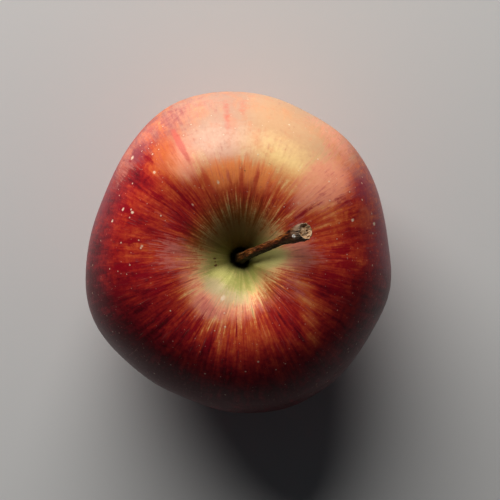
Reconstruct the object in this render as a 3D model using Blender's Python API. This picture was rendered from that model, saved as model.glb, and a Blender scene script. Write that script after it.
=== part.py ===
"""A red apple as it grew: the whole fruit, the woody stem in its cavity and the dried calyx in the basin below.

Metres, +Z up. The origin is on the surface that the fruit stands on, under the middle of its outline.
Directions round the fruit are in degrees, 0 along +X and 90 along +Y.
"""

import math
import random

import bmesh
import bpy
from mathutils import Matrix, Vector
from mathutils.geometry import interpolate_bezier

# The outline from above: a round body with five ribs, one over each seed chamber.
BODY_RADIUS = 0.0333
# Direction of each rib, how far it stands out, and its half width in degrees.
RIBS = (
    (43, 0.0054, 45),
    (110, 0.0070, 41),
    (202, 0.0059, 39),
    (290, 0.0070, 51),
    (346, 0.0022, 19),
)
RIB_FADE = 1.2
COLUMNS = 60

# The profile, from the floor of the stem cavity over the shoulder and the foot to the eye of the basin.
WIDEST_HEIGHT = 0.0385
CREST_RADIUS = 0.0198
CREST_HEIGHT = 0.0670
THROAT_RADIUS = 0.0034
THROAT_HEIGHT = 0.0568
FLOOR_HEIGHT = 0.0520
FOOT_RADIUS = 0.0160
EYE_HEIGHT = 0.0088
FLAT_DEPTH = 0.00015

# How the fruit is uneven.
SHOULDER_LEAN = 6
LEAN_DIRECTION = 95
LEAN_START = 0.030
CAVITY_SHIFT = Vector((0.0005, -0.0008, 0))
EYE_SHIFT = Vector((0.0008, 0.0004, 0))
FOOT_HALF_ANGLE = 23
FURROW_RISE = 0.0022
FURROW_BREADTH = 0.0085
SHOULDER_DIP = 0.0010
SHOULDER_BREADTH = 0.0080

# The stem rises from the cavity's floor and bends over the shoulder to its knob.
STEM_FOOT = Vector((0.0008, -0.0012, 0.0525))
STEM_TIP = Vector((0.0158, 0.0050, 0.0745))
STEM_TIP_DIRECTION = 19
STEM_TIP_RISE = 54
STEM_HANDLE = 0.0090
STEM_RADIUS = 0.00120
STEM_FOOT_RADIUS = 0.00165
STEM_RIDGES = 5
STEM_RIDGE = 0.06
KNOB_RADIUS = 0.00205
KNOB_START = 0.80
KNOB_DISH = 0.0005
STEM_ROWS = 24
STEM_COLUMNS = 20

# The calyx: a button against the eye of the basin, with five sepals and a tuft of stamens on it.
GAP = 0.0004
BUTTON_RADIUS = 0.0031
BUTTON_THICKNESS = 0.0013
BUTTON_CROWN = 0.0007
SEPALS = 5
SEPAL_TURN = 20
SEPAL_ROOT = 0.0023
SEPAL_REACH = 0.0062
SEPAL_DROP = 0.0036
SEPAL_WIDTH = 0.0032
SEPAL_THICKNESS = 0.0007
STAMENS = 9
STAMEN_RING = 0.0012
STAMEN_RADIUS = 0.0004
STAMEN_LENGTHS = (0.0022, 0.0034)
STAMEN_SEED = 7

SKIN_RED = (0.36, 0.035, 0.025, 1)
STEM_BROWN = (0.15, 0.070, 0.035, 1)
CALYX_BROWN = (0.17, 0.115, 0.070, 1)


def clear_scene():
    for obj in list(bpy.data.objects):
        bpy.data.objects.remove(obj)


def make_material(name, colour, roughness):
    material = bpy.data.materials.new(name)
    material.use_nodes = True
    shader = material.node_tree.nodes["Principled BSDF"]
    shader.inputs["Base Color"].default_value = colour
    shader.inputs["Roughness"].default_value = roughness
    shader.inputs["Metallic"].default_value = 0
    return material


def make_object(name, bm, collection=None):
    """Puts a bmesh into the scene as an object, shaded smooth apart from its sharp edges."""
    bmesh.ops.recalc_face_normals(bm, faces=bm.faces)
    mesh = bpy.data.meshes.new(name)
    bm.to_mesh(mesh)
    bm.free()
    mesh.shade_smooth()
    mesh.set_sharp_from_angle(angle=math.radians(40))
    obj = bpy.data.objects.new(name, mesh)
    (collection or bpy.context.scene.collection).objects.link(obj)
    return obj


def smoothstep(value, low, high):
    """Rises from 0 at low to 1 at high, level at both ends."""
    share = min(max((value - low) / (high - low), 0), 1)
    return share * share * (3 - 2 * share)


def bump(distance, breadth):
    """1 at no distance, falling off on both sides like a bell."""
    return math.exp(-((distance / breadth) ** 2))


def turn_between(first, second):
    """The shorter turn between two directions, in degrees."""
    return abs((first - second + 180) % 360 - 180)


def towards(direction, rise=0):
    """A unit vector at a direction round the fruit and a rise above level, both in degrees."""
    level = math.cos(math.radians(rise))
    turn = math.radians(direction)
    return Vector((level * math.cos(turn), level * math.sin(turn), math.sin(math.radians(rise))))


def outline(direction):
    """The fruit's reach in one direction, at its widest."""
    return BODY_RADIUS + sum(reach * bump(turn_between(direction, rib), width) for rib, reach, width in RIBS)


def outline_box():
    """The mean reach of the outline, and the middle of the box round it."""
    reaches = [outline(360 * i / COLUMNS) for i in range(COLUMNS)]
    corners = [towards(360 * i / COLUMNS) * reach for i, reach in enumerate(reaches)]
    middle = [(min(p[axis] for p in corners) + max(p[axis] for p in corners)) / 2 for axis in (0, 1)]
    return sum(reaches) / COLUMNS, Vector((*middle, 0))


MEAN_RADIUS, OUTLINE_MIDDLE = outline_box()


def spline(anchors, rows):
    """Points along Bezier curves between anchors, each a place, a unit heading and its handles' lengths."""
    points = []
    for (start, leaving, _, out), (end, arriving, back, _), count in zip(anchors, anchors[1:], rows):
        curve = interpolate_bezier(start, start + leaving * out, end - arriving * back, end, count + 1)
        points += curve[:-1]
    return points + [anchors[-1][0]]


def fruit_profile():
    """The turned profile in the XZ plane."""
    outwards, inwards, down = Vector((1, 0, 0)), Vector((-1, 0, 0)), Vector((0, 0, -1))
    anchors = (
        (Vector((0, 0, FLOOR_HEIGHT)), outwards, 0, 0.0026),
        (Vector((THROAT_RADIUS, 0, THROAT_HEIGHT)), towards(0, 65), 0.0022, 0.0050),
        (Vector((CREST_RADIUS, 0, CREST_HEIGHT)), outwards, 0.0088, 0.0105),
        (Vector((MEAN_RADIUS, 0, WIDEST_HEIGHT)), down, 0.0165, 0.0200),
        (Vector((FOOT_RADIUS, 0, 0)), inwards, 0.0105, 0.0070),
        (Vector((0, 0, EYE_HEIGHT)), inwards, 0.0070, 0),
    )
    return spline(anchors, (5, 8, 8, 9, 7))


def shaped(point):
    """Moves a point of the turned fruit to its place on the real one.

    Its radius is scaled by the outline, less so near the axis. In the furrows between the ribs the shoulder
    dips and the foot rises. The shoulder leans up to one side, and the cavity and the eye sit off the axis.
    """
    radius, height = math.hypot(point.x, point.y), point.z
    direction = math.degrees(math.atan2(point.y, point.x))
    scale = 1 + (outline(direction) / MEAN_RADIUS - 1) * (radius / MEAN_RADIUS) ** RIB_FADE
    furrow = math.prod(1 - bump(turn_between(direction, rib[0]), FOOT_HALF_ANGLE) for rib in RIBS)
    place = towards(direction) * radius * scale
    if height > WIDEST_HEIGHT:
        place += CAVITY_SHIFT * (1 - smoothstep(radius, THROAT_RADIUS, CREST_RADIUS))
        height -= SHOULDER_DIP * furrow * bump(radius - CREST_RADIUS, SHOULDER_BREADTH)
    else:
        place += EYE_SHIFT * (1 - smoothstep(radius, 0, FOOT_RADIUS))
        height += FURROW_RISE * furrow * bump(radius - FOOT_RADIUS, FURROW_BREADTH)
    if point.z > LEAN_START:
        slope = math.tan(math.radians(SHOULDER_LEAN)) * smoothstep(point.z, LEAN_START, CREST_HEIGHT)
        height += slope * radius * math.cos(math.radians(direction - LEAN_DIRECTION))
    return Vector((place.x, place.y, height - FLAT_DEPTH)) - OUTLINE_MIDDLE


def turned(points, columns):
    """A bmesh made by spinning a profile, both of whose ends are on the Z axis."""
    bm = bmesh.new()
    verts = [bm.verts.new(point) for point in points]
    edges = [bm.edges.new(pair) for pair in zip(verts, verts[1:])]
    bmesh.ops.spin(bm, geom=verts + edges, axis=(0, 0, 1), angle=2 * math.pi, steps=columns, use_merge=True)
    bmesh.ops.remove_doubles(bm, verts=bm.verts, dist=1e-6)
    return bm


def lofted(rings):
    """A bmesh through closed rings of points, all with as many points, each end closed by a fan."""
    bm = bmesh.new()
    rings = [[bm.verts.new(point) for point in ring] for ring in rings]
    for ring, following in zip(rings, rings[1:]):
        for i in range(len(ring)):
            bm.faces.new((ring[i - 1], ring[i], following[i], following[i - 1]))
    bm.faces.new(rings[0])
    bm.faces.new(rings[-1])
    return bm


def build_fruit():
    """The fruit, turned and then shaped. It is cut level where its feet reach the surface below."""
    bm = turned(fruit_profile(), COLUMNS)
    for vert in bm.verts:
        vert.co = shaped(vert.co)
    everything = bm.verts[:] + bm.edges[:] + bm.faces[:]
    bmesh.ops.bisect_plane(bm, geom=everything, plane_co=(0, 0, 0), plane_no=(0, 0, -1), clear_outer=True)
    bmesh.ops.holes_fill(bm, edges=[edge for edge in bm.edges if edge.is_boundary])
    fruit = make_object("fruit", bm)
    fruit.data.materials.append(make_material("skin", SKIN_RED, 0.35))


def stem_radius(share):
    """The stem's radius at a share of its length: stout at its foot, then even, then flared to the knob."""
    radius = STEM_RADIUS + (STEM_FOOT_RADIUS - STEM_RADIUS) * bump(share, 0.15)
    return radius + (KNOB_RADIUS - radius) * smoothstep(share, KNOB_START, 0.95)


def build_stem():
    """Ridged rings carried along the stem's curve, drawn in at the foot and dished inside the knob's rim."""
    heading = towards(STEM_TIP_DIRECTION, STEM_TIP_RISE)
    anchors = (
        (STEM_FOOT, Vector((0, 0, 1)), 0, STEM_HANDLE),
        (STEM_TIP, heading, STEM_HANDLE, 0),
    )
    path = spline(anchors, (STEM_ROWS,))
    side = heading.cross(Vector((0, 0, 1))).normalized()

    def ring(centre, heading, radius):
        up = side.cross(heading).normalized()
        points = []
        for i in range(STEM_COLUMNS):
            turn = 2 * math.pi * i / STEM_COLUMNS
            ridged = radius * (1 + STEM_RIDGE * math.cos(STEM_RIDGES * turn))
            points.append(centre + ridged * (math.cos(turn) * side + math.sin(turn) * up))
        return points

    rings = [ring(path[0], Vector((0, 0, 1)), STEM_RADIUS * 0.7)]
    for i in range(1, STEM_ROWS):
        rings.append(ring(path[i], path[i + 1] - path[i - 1], stem_radius(i / STEM_ROWS)))
    rings.append(ring(path[-1], heading, KNOB_RADIUS * 0.85))
    rings.append(ring(path[-1] - heading * KNOB_DISH, heading, KNOB_RADIUS * 0.5))
    stem = make_object("stem", lofted(rings))
    stem.data.materials.append(make_material("bark", STEM_BROWN, 0.75))


def button_bottom():
    return EYE_HEIGHT - FLAT_DEPTH - GAP - BUTTON_CROWN - BUTTON_THICKNESS


def button():
    """A low round cushion that follows the eye of the basin at a gap."""
    top, bottom = button_bottom() + BUTTON_CROWN + BUTTON_THICKNESS, button_bottom()
    profile = (
        Vector((0, 0, top)),
        Vector((BUTTON_RADIUS * 0.5, 0, top - BUTTON_CROWN * 0.35)),
        Vector((BUTTON_RADIUS, 0, top - BUTTON_CROWN - 0.0001)),
        Vector((BUTTON_RADIUS, 0, bottom + BUTTON_THICKNESS * 0.4)),
        Vector((BUTTON_RADIUS * 0.7, 0, bottom)),
        Vector((0, 0, bottom)),
    )
    return turned(profile, 20)


def sepal(direction):
    """A blade that leaves the button's rim downwards and curls out to a point, in flattened rings."""
    out = towards(direction)
    side = Vector((0, 0, 1)).cross(out)
    root = out * SEPAL_ROOT + Vector((0, 0, button_bottom() + 0.0006))
    tip = out * SEPAL_REACH + Vector((0, 0, button_bottom() - SEPAL_DROP))
    down = Vector((0, 0, -1))
    anchors = ((root, down, 0, 0.0032), (tip, (out + Vector((0, 0, 0.5))).normalized(), 0.0028, 0))
    rows = 7
    path = spline(anchors, (rows,))
    rings = []
    for i, centre in enumerate(path):
        share = i / rows
        heading = (path[min(i + 1, rows)] - path[max(i - 1, 0)]).normalized()
        face = side.cross(heading)
        half_width = max(SEPAL_WIDTH / 2 * (1 - share**1.6), SEPAL_THICKNESS / 2)
        turns = [math.radians(45 * j) for j in range(8)]
        rings.append(
            [
                centre + side * half_width * math.cos(turn) + face * SEPAL_THICKNESS / 2 * math.sin(turn)
                for turn in turns
            ]
        )
    return lofted(rings)


def stamen(direction, tilt, length):
    """A short stub under the button, with a slightly thicker end."""
    root = towards(direction) * STAMEN_RING + Vector((0, 0, button_bottom() + 0.0004))
    heading = towards(direction, tilt - 90)
    turned_to = heading.to_track_quat("Z", "Y").to_matrix().to_4x4()
    rings = []
    for along, radius in ((0, STAMEN_RADIUS), (length * 0.8, STAMEN_RADIUS), (length, STAMEN_RADIUS * 1.4)):
        place = Matrix.Translation(root + heading * along) @ turned_to
        rings.append([place @ (towards(72 * i) * radius) for i in range(5)])
    return lofted(rings)


def build_calyx():
    """The button joined with its sepals and stamens in one solid."""
    draw = random.Random(STAMEN_SEED)
    growths = bpy.data.collections.new("growths")
    bpy.context.scene.collection.children.link(growths)
    for i in range(SEPALS):
        make_object(f"sepal_{i}", sepal(SEPAL_TURN + 360 / SEPALS * i), growths)
    for i in range(STAMENS):
        direction = 360 / STAMENS * i
        make_object(f"stamen_{i}", stamen(direction, draw.uniform(5, 20), draw.uniform(*STAMEN_LENGTHS)), growths)
    calyx = make_object("calyx", button())
    union = calyx.modifiers.new("joined", "BOOLEAN")
    union.operation = "UNION"
    union.operand_type = "COLLECTION"
    union.collection = growths
    graph = bpy.context.evaluated_depsgraph_get()
    calyx.data = bpy.data.meshes.new_from_object(calyx.evaluated_get(graph))
    calyx.modifiers.clear()
    for growth in list(growths.objects):
        bpy.data.objects.remove(growth)
    bpy.data.collections.remove(growths)
    calyx.location = EYE_SHIFT - OUTLINE_MIDDLE
    calyx.data.materials.append(make_material("sepal", CALYX_BROWN, 0.9))


clear_scene()
build_fruit()
build_stem()
build_calyx()
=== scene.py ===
"""The looks of a red apple: streaked skin with pale pores, a weathered woody stem and a dried calyx.

Lengths are in metres. Directions round the fruit are in degrees, 0 along +X and 90 along +Y, and a place on
the skin is given by its direction and by its distance along the meridian from the floor of the stem cavity.
"""

import math

import bpy
import numpy as np
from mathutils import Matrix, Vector


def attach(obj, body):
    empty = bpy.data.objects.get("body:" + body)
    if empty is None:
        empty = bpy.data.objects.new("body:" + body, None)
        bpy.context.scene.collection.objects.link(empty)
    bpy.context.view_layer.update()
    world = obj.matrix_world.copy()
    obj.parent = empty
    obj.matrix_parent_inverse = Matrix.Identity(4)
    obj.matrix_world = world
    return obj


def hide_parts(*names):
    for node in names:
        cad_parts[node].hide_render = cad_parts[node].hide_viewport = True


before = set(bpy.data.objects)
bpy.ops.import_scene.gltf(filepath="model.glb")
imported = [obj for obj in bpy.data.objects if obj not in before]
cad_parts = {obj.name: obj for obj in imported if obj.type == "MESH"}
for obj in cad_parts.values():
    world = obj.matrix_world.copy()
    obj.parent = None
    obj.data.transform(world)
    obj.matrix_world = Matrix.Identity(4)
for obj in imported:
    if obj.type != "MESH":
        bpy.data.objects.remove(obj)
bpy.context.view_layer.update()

# The outline from above: a round body with five ribs, each a direction, a reach and a half width in degrees.
BODY_RADIUS = 0.0333
RIBS = (
    (43, 0.0054, 45),
    (110, 0.0070, 41),
    (202, 0.0059, 39),
    (290, 0.0070, 51),
    (346, 0.0022, 19),
)
RIB_FADE = 1.2

# The profile, from the floor of the stem cavity over the shoulder and the foot to the eye of the basin.
WIDEST_HEIGHT = 0.0385
CREST_RADIUS = 0.0198
CREST_HEIGHT = 0.0670
THROAT_RADIUS = 0.0034
THROAT_HEIGHT = 0.0568
FLOOR_HEIGHT = 0.0520
FOOT_RADIUS = 0.0160
EYE_HEIGHT = 0.0088
FLAT_DEPTH = 0.00015

# How the fruit is uneven.
SHOULDER_LEAN = 6
LEAN_DIRECTION = 95
LEAN_START = 0.030
CAVITY_SHIFT = (0.0005, -0.0008)
EYE_SHIFT = (0.0008, 0.0004)
FOOT_HALF_ANGLE = 23
FURROW_RISE = 0.0022
FURROW_BREADTH = 0.0085
SHOULDER_DIP = 0.0010
SHOULDER_BREADTH = 0.0080

# The skin's grid and its fine relief: undulations, puckers round the eye and folds down the cavity, each with
# its height and the length of its waves, which for the puckers and folds is in mean radii of the fruit.
FINE_LENGTH = 0.060
FINE_ROWS = 165
COARSE_ROWS = 55
FRUIT_COLUMNS = 440
UNDULATION = 0.00012
UNDULATION_LENGTH = 0.016
PUCKER = 0.00030
PUCKER_LENGTH = 0.45
PUCKER_BEFORE_EYE = 0.009
PUCKER_BREADTH = 0.006
CAVITY_FOLD = 0.00002
FOLD_LENGTH = 0.16
FOLD_PLACE = 0.0115
FOLD_BREADTH = 0.0055

# The stem's line and its thickness, as the solid has them.
STEM_FOOT = np.array((0.0008, -0.0012, 0.0525))
STEM_TIP = np.array((0.0158, 0.0050, 0.0745))
STEM_TIP_DIRECTION = 19
STEM_TIP_RISE = 54
STEM_HANDLE = 0.0090
STEM_RADIUS = 0.00105
STEM_FOOT_RADIUS = 0.00165
STEM_RIDGES = 5
STEM_RIDGE = 0.06
KNOB_RADIUS = 0.00205
KNOB_START = 0.68

# How the stem is weathered: its root under the cavity's floor, its twist in degrees, its cracks and its scar.
STEM_ROWS = 300
STEM_COLUMNS = 120
SCAR_ROWS = 44
STEM_ROOT = 0.0009
STEM_TWIST = 95
CRACK_DEPTH = 0.00016
FIBRE_DEPTH = 0.00004
FLAKE_DEPTH = 0.00005
COLLAR_SWELL = 0.00010
KNUCKLE_SWELL = 0.00022
KNUCKLE_DIRECTION = 120
SCAR_DISH = 0.00042
SCAR_BOSS = 0.00022
SCAR_RIM = 0.00012
SCAR_GRAIN = 0.00007
# Holes in the scar, as shares of its radius: across, up, the half sizes of each, and the depth.
SCAR_HOLES = (
    (-0.60, -0.22, 0.11, 0.32, 0.00022),
    (0.05, 0.52, 0.13, 0.14, 0.00022),
    (0.02, -0.40, 0.10, 0.16, 0.00018),
    (0.30, -0.36, 0.07, 0.14, 0.00015),
    (0.74, -0.30, 0.10, 0.24, 0.00020),
)

# The calyx, as the solid has it.
GAP = 0.0004
BUTTON_RADIUS = 0.0031
BUTTON_THICKNESS = 0.0013
BUTTON_CROWN = 0.0007
# The button from its top to its underside: shares of its radius, and heights above its bottom.
BUTTON_PROFILE = (
    (0, 0.0031),
    (0.6, 0.0030),
    (1.05, 0.0018),
    (1.0, 0.0006),
    (0.85, 0),
    (0.5, 0.0004),
    (0, 0.0006),
)
SEPALS = 5
SEPAL_TURN = 20
SEPAL_ROOT = 0.0023
SEPAL_REACH = 0.0062
SEPAL_DROP = 0.0036
SEPAL_WIDTH = 0.0032
SEPAL_THICKNESS = 0.00032
SEPAL_ROWS = 70
SEPAL_COLUMNS = 44
STAMENS = 18
STAMEN_RING = 0.0013
STAMEN_RADIUS = 0.00011
STAMEN_LENGTHS = (0.0021, 0.0036)
STAMEN_HEAD = 2.4
HAIRS = 900
HAIR_LENGTHS = (0.0005, 0.0012)
HAIR_RADIUS = 0.000016

# The camera looks straight down from a little to the right of the fruit's middle.
CAMERA_XY = (0.0030, 0.00065)
CAMERA_DISTANCE = 0.480
FRAME_WIDTH = 0.1255
SENSOR_WIDTH = 36.0

# One soft lamp stands behind the fruit, as seen from the front, and lights it from above its far shoulder.
KEY_DIRECTION = 104
KEY_ELEVATION = 32
KEY_DISTANCE = 0.9
KEY_SIZE = 1.00
KEY_POWER = 15.0
KEY_COLOUR = (1.0, 0.965, 0.92)
SKY_COLOUR = (0.86, 0.93, 1.0)
SKY_STRENGTH = 0.05
VIEW_GAMMA = 0.80
FLOOR_HALF_WIDTH = 4.0
FLOOR_COLOUR = (0.61, 0.62, 0.63, 1)
FLOOR_ROUGHNESS = 0.9

# Colours of the skin from unripe to fully red, each at its ripeness.
RIPENESS_COLOURS = (
    (0.00, (0.43, 0.43, 0.15)),
    (0.11, (0.60, 0.52, 0.23)),
    (0.23, (0.86, 0.58, 0.29)),
    (0.35, (0.76, 0.31, 0.13)),
    (0.47, (0.65, 0.16, 0.055)),
    (0.60, (0.54, 0.078, 0.036)),
    (0.74, (0.42, 0.028, 0.026)),
    (0.88, (0.26, 0.010, 0.022)),
    (1.00, (0.13, 0.005, 0.012)),
)
CREAM = (0.60, 0.49, 0.31, 1)
# Mostly painted light, on the cavity's wall.
LIME = (0.82, 0.78, 0.34, 1)
# The haze's colours, pale within and duller further out; the pale ones carry a painted sheen.
PALE_PEACH = (0.88, 0.595, 0.47, 1)
PALE_LEMON = (0.95, 0.73, 0.37, 1)
PEACH = (0.53, 0.365, 0.285, 1)
STRAW_PEACH = (0.63, 0.43, 0.27, 1)
BLUSH = (0.88, 0.40, 0.28, 1)
CORAL = (0.80, 0.29, 0.15, 1)
# Partly painted light: an orange brighter than the skin, for the far inner slope.
AMBER = (1.0, 0.37, 0.13, 1)
EMBER = (0.66, 0.185, 0.055, 1)
STROKE_PINK = (0.64, 0.17, 0.13, 1)
TONGUE_RED = (0.60, 0.105, 0.050, 1)
ROSE = (0.66, 0.23, 0.19, 1)
# Partly painted light: a sky sheen on the rims and shade on the far left shoulder.
PLUM = (0.30, 0.045, 0.080, 1)
DARK_RED = (0.13, 0.022, 0.010, 1)
CRIMSON = (0.33, 0.006, 0.022, 1)
# Pale pores, and the colour of one painted highlight.
PORE_AND_HIGHLIGHT = (0.86, 0.72, 0.56, 1)
# Painted shade in the cavity's deep throat.
THROAT_SHADE = (0.035, 0.022, 0.008, 1)
CORK_BROWN = (0.22, 0.12, 0.055, 1)
# Painted shade on the cavity's wall.
SHADE_OLIVE = (0.20, 0.112, 0.016, 1)

# Colours of the bark from the depth of a crack to the crest of a ridge, and of its weathered parts.
BARK_COLOURS = (
    (0.00, (0.006, 0.003, 0.004)),
    (0.30, (0.028, 0.009, 0.010)),
    (0.50, (0.075, 0.023, 0.012)),
    (0.70, (0.280, 0.092, 0.022)),
    (0.86, (0.600, 0.270, 0.080)),
    (1.00, (0.780, 0.600, 0.420)),
)
FOOT_OLIVE = (0.085, 0.060, 0.032, 1)
# A painted glint along the lit side of the bark.
PAINTED_GLINT = (0.86, 0.80, 0.72, 1)
WEATHERED_GREY = (0.27, 0.205, 0.15, 1)
PIT_BROWN = (0.045, 0.026, 0.018, 1)
WHITE_SPOT_COLOUR = (0.90, 0.90, 0.88, 1)
SCAR_COLOURS = (
    (0.00, (0.150, 0.065, 0.020)),
    (0.30, (0.270, 0.135, 0.055)),
    (0.60, (0.470, 0.300, 0.170)),
    (1.00, (0.620, 0.460, 0.320)),
)

# Colours of the dried calyx, from its creases to its rubbed edges.
CALYX_COLOURS = (
    (0.00, (0.030, 0.018, 0.010)),
    (0.40, (0.110, 0.070, 0.035)),
    (0.70, (0.230, 0.170, 0.095)),
    (1.00, (0.400, 0.330, 0.220)),
)
HAIR_WHITE = (0.62, 0.57, 0.48, 1)

# The ground's ripeness: its level, its share in the basin, where along the meridian the sides set in and the
# basin starts, and how each side differs: a direction, its half width in degrees, and a change.
RIPENESS = 0.64
BASIN_SHARE = 0.25
SIDES_FROM = (0.016, 0.030)
BASIN_FROM = (0.104, 0.126)
SIDE_RIPENESS = (
    (76, 40, -0.26),
    (112, 14, -0.06),
    (165, 30, 0.08),
    (225, 36, 0.17),
    (300, 45, 0.16),
    (352, 22, 0.10),
)

# The cavity's green: where it ends along the meridian, how long the red takes to be full, and how the sides
# differ: a direction, its half width in degrees, and the changes of both.
GREEN_END = 0.0110
GREEN_FADE = 0.0125
GREEN_SIDES = (
    (90, 70, -0.0032, 0.0030),
    (245, 40, 0.0022, 0.0030),
    (5, 25, 0.0020, 0.0),
    (315, 24, -0.0022, 0.0),
)

# Patches placed on the skin. Each is a direction, a distance along, a half width in degrees, a half
# length and a strength. These change the ground's ripeness.
GROUND_PATCHES = (
    (131, 0.0365, 8, 0.0060, -0.11),
    (148, 0.0215, 13, 0.0045, 0.14),
    (58, 0.0345, 20, 0.0090, -0.22),
    (80, 0.0305, 40, 0.0050, -0.08),
    (88, 0.0262, 44, 0.0042, 0.03),
    (92, 0.0215, 40, 0.0036, 0.02),
    (48, 0.0330, 9, 0.0050, -0.14),
    (118, 0.0300, 10, 0.0036, -0.12),
    (20, 0.0290, 11, 0.0050, -0.09),
    (40, 0.0330, 12, 0.0080, -0.10),
    (290, 0.0270, 7, 0.0040, -0.10),
    (235, 0.0450, 80, 0.0100, 0.10),
    (148, 0.0440, 14, 0.0080, 0.10),
    # These three deepen the near lower flanks: painted shade.
    (200, 0.0600, 52, 0.0190, 0.18),
    (272, 0.0600, 64, 0.0190, 0.18),
    (335, 0.0600, 44, 0.0190, 0.16),
    (20, 0.0400, 5, 0.0050, 0.14),
    (271, 0.0262, 26, 0.0050, -0.18),
    (335, 0.0240, 4.0, 0.0035, -0.32),
    (326, 0.0266, 4.5, 0.0035, -0.36),
    (318, 0.0300, 4.5, 0.0032, -0.34),
    (311, 0.0340, 4.5, 0.0030, -0.22),
    (0, 0.0330, 14, 0.0080, -0.08),
    (330, 0.0310, 8, 0.0040, -0.08),
    (181, 0.0310, 7, 0.0045, -0.13),
    (17, 0.0410, 6, 0.0050, -0.14),
    (356, 0.0360, 3, 0.0030, -0.10),
    (172, 0.0385, 9, 0.0060, -0.10),
    (152, 0.0360, 7, 0.0040, -0.06),
    (216, 0.0250, 14, 0.0045, -0.04),
    (300, 0.0255, 8, 0.0040, 0.05),
    (31, 0.0440, 8, 0.0050, 0.12),
    (9, 0.0378, 5, 0.0050, 0.16),
    (141, 0.0385, 6, 0.0050, 0.12),
)

# Crimson dashes that run along the meridians.
DASHES = (
    (158.2, 0.0391, 2.6, 0.0040, 1.0),
    (173.8, 0.0335, 2.6, 0.0022, 1.0),
    (186.2, 0.0342, 2.0, 0.0070, 0.9),
    (192.5, 0.0300, 1.8, 0.0035, 0.7),
    (144.0, 0.0314, 1.5, 0.0042, 0.8),
    (156.0, 0.0223, 4.0, 0.0042, 0.7),
    (134.0, 0.0240, 10, 0.0026, 0.5),
    (133.2, 0.0400, 2.0, 0.0032, 0.75),
    (29.0, 0.0450, 3.0, 0.0040, 0.4),
    (162.0, 0.0488, 4.5, 0.0030, 0.6),
    (153.0, 0.0446, 3.5, 0.0030, 0.5),
    (196.5, 0.0370, 5.0, 0.0050, 0.5),
    (204.0, 0.0272, 3.0, 0.0042, 0.6),
    (214.0, 0.0320, 3.0, 0.0050, 0.5),
    (3.2, 0.0322, 4.0, 0.0035, 0.8),
    (355.0, 0.0345, 3.0, 0.0050, 0.9),
    (346.5, 0.0300, 5.0, 0.0045, 0.8),
    (340.0, 0.0330, 4.0, 0.0040, 0.5),
    (33.0, 0.0262, 2.0, 0.0048, 0.7),
    (28.0, 0.0340, 3.0, 0.0045, 0.5),
    (20.0, 0.0370, 5.0, 0.0040, 0.6),
    (239.8, 0.0286, 2.6, 0.0060, 0.8),
    (251.0, 0.0300, 1.8, 0.0030, 0.6),
    (268.5, 0.0258, 1.0, 0.0055, 0.7),
    (57.0, 0.0200, 3.0, 0.0040, 0.5),
)

# Pale haze on the far shoulder, partly the skin's own and partly a painted sheen from the lamp.
HAZES_AND_SHEEN = (
    (86, 0.0345, 38, 0.0081, 0.80),
    (56, 0.0365, 15, 0.0060, 0.50),
    (80, 0.0480, 47, 0.0135, 0.80),
    (70, 0.0640, 26, 0.0140, 0.30),
    (108, 0.0600, 16, 0.0120, 0.25),
    (101, 0.0350, 10, 0.0050, 0.25),
)

# Brush-like strokes, pink outside and red on the inner slope.
STROKES = (
    (117.7, 0.0365, 1.7, 0.0062, 1.0),
    (125.5, 0.0500, 2.6, 0.0035, 0.5),
    (94.8, 0.0420, 1.8, 0.0100, 0.42),
    (88.2, 0.0455, 2.2, 0.0070, 0.38),
    (99, 0.0400, 1.6, 0.0060, 0.28),
    (66, 0.0234, 2.6, 0.0036, 0.55),
    (76.5, 0.0240, 2.4, 0.0046, 0.72),
    (87.5, 0.0240, 2.2, 0.0046, 0.72),
    (96, 0.0230, 1.5, 0.0036, 0.50),
    (113, 0.0244, 3.0, 0.0046, 0.72),
    (121, 0.0250, 2.4, 0.0044, 0.60),
)

# Single pale marks; one of them is a painted highlight on the cavity's wall that faces the lamp.
PALE_MARKS = (
    (135.5, 0.0356, 1.2, 0.0007, 0.75),
    (105.5, 0.0244, 1.4, 0.0006, 0.8),
    # A painted highlight on the cavity's wall that faces the lamp.
    (248.2, 0.0172, 3.8, 0.0013, 0.75),
    (40.0, 0.0258, 3.4, 0.0010, 0.5),
    (137.5, 0.0467, 1.1, 0.0009, 0.9),
    (12.8, 0.0460, 0.9, 0.0010, 0.9),
    (158.4, 0.0391, 1.1, 0.0006, 0.9),
    (158.2, 0.0356, 1.1, 0.0006, 0.9),
    (165.0, 0.0418, 1.0, 0.0006, 0.9),
    (16.8, 0.0370, 1.0, 0.0007, 0.9),
    (174.8, 0.0303, 1.5, 0.0005, 0.75),
    (132.0, 0.0230, 1.5, 0.0005, 0.7),
)

# A dusty rose layer; the row at 2 degrees is partly painted light where the stem shades the skin.
ROSES = (
    (178, 0.0205, 16, 0.0050, 0.55),
    (190, 0.0250, 13, 0.0050, 0.45),
    (212, 0.0195, 14, 0.0036, 0.40),
    (238, 0.0210, 14, 0.0040, 0.90),
    (262, 0.0215, 14, 0.0036, 0.45),
    (298, 0.0200, 18, 0.0040, 0.45),
    (330, 0.0215, 18, 0.0055, 0.55),
    (2, 0.0215, 16, 0.0060, 0.60),
    (358, 0.0265, 12, 0.0045, 0.35),
    (27, 0.0220, 13, 0.0040, 0.50),
    (32, 0.0320, 13, 0.0080, 0.40),
    (44, 0.0420, 10, 0.0080, 0.35),
    (138, 0.0480, 22, 0.0070, 0.45),
    (156, 0.0255, 11, 0.0050, 0.42),
    (172, 0.0262, 7, 0.0050, 0.45),
)

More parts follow.
